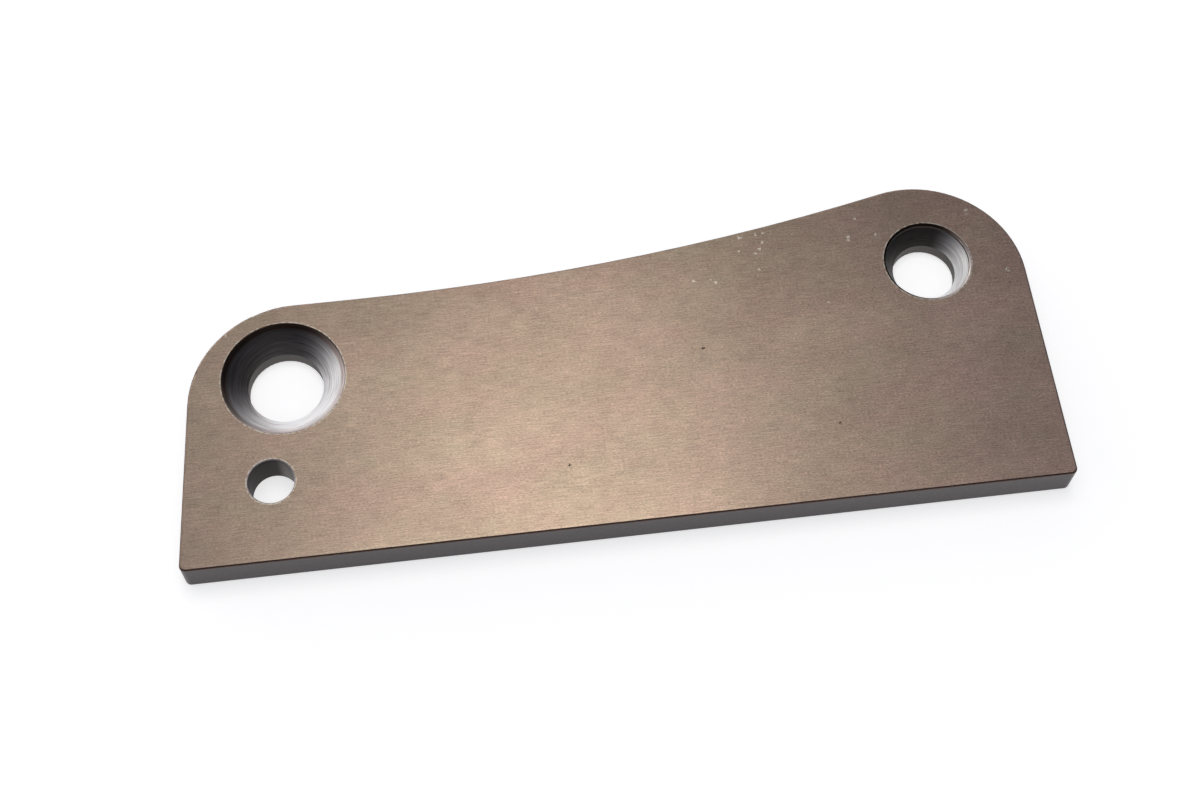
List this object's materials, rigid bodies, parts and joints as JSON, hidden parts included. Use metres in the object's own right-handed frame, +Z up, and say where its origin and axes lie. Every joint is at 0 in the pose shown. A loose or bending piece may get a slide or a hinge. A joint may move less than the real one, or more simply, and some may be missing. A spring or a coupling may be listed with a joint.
{
  "type": "counter knife",
  "caption": "Flat ground steel counter knife with a straight cutting edge, a hollow back edge, countersunk screw holes and a dowel hole.",
  "frame": {"origin": "middle of the plate's box, on the underside", "axes": "+X along the cutting edge towards the taller end, +Y from the cutting edge to the back edge, +Z up from the underside to the countersunk face"},
  "size_m": [0.112, 0.0438, 0.005],
  "materials": {
    "ground_steel": "satin ground tool steel with a warm grey-brown cast"
  },
  "bodies": {
    "root": {"knife_plate": "ground_steel"}
  },
  "joints": []
}
